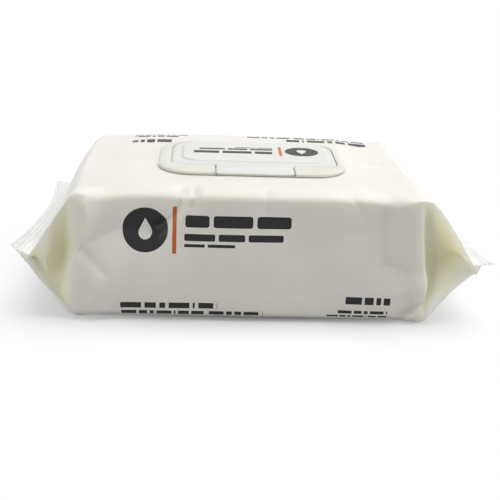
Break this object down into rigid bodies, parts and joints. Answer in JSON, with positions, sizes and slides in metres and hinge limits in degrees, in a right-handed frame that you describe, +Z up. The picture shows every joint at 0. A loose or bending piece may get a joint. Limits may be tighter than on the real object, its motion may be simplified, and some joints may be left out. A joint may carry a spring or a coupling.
{
  "type": "pack of wet wipes with flip lid",
  "caption": "Flow-wrapped film pack of moist wipes with gusset tucks and crimped end seals, and a hinged flip-top lid nested in a glued frame over a peel-off label.",
  "frame": {"origin": "middle of the underside: the centre of the bounding box, at the level of the surface that the pack lies on", "axes": "+X along the pack from seal to seal, +Y from the lid's hinge side to its thumb side, +Z up through the lid"},
  "size_m": [0.2263, 0.12, 0.0669],
  "materials": {
    "film": "satin printed film",
    "frame_plastic": "moulded satin",
    "lid_plastic": "moulded satin",
    "label": "glossy peel-off label"
  },
  "bodies": {
    "pack": {"pouch": "film", "lid_frame": "frame_plastic", "seal_label": "label"},
    "lid": {"lid": "lid_plastic"}
  },
  "joints": [
    {"name": "lid_hinge", "type": "hinge", "parent": "pack", "child": "lid", "pos_m": [-0.001, -0.0307, 0.06505], "axis": [1, 0, 0], "range_deg": [0, 150]}
  ]
}
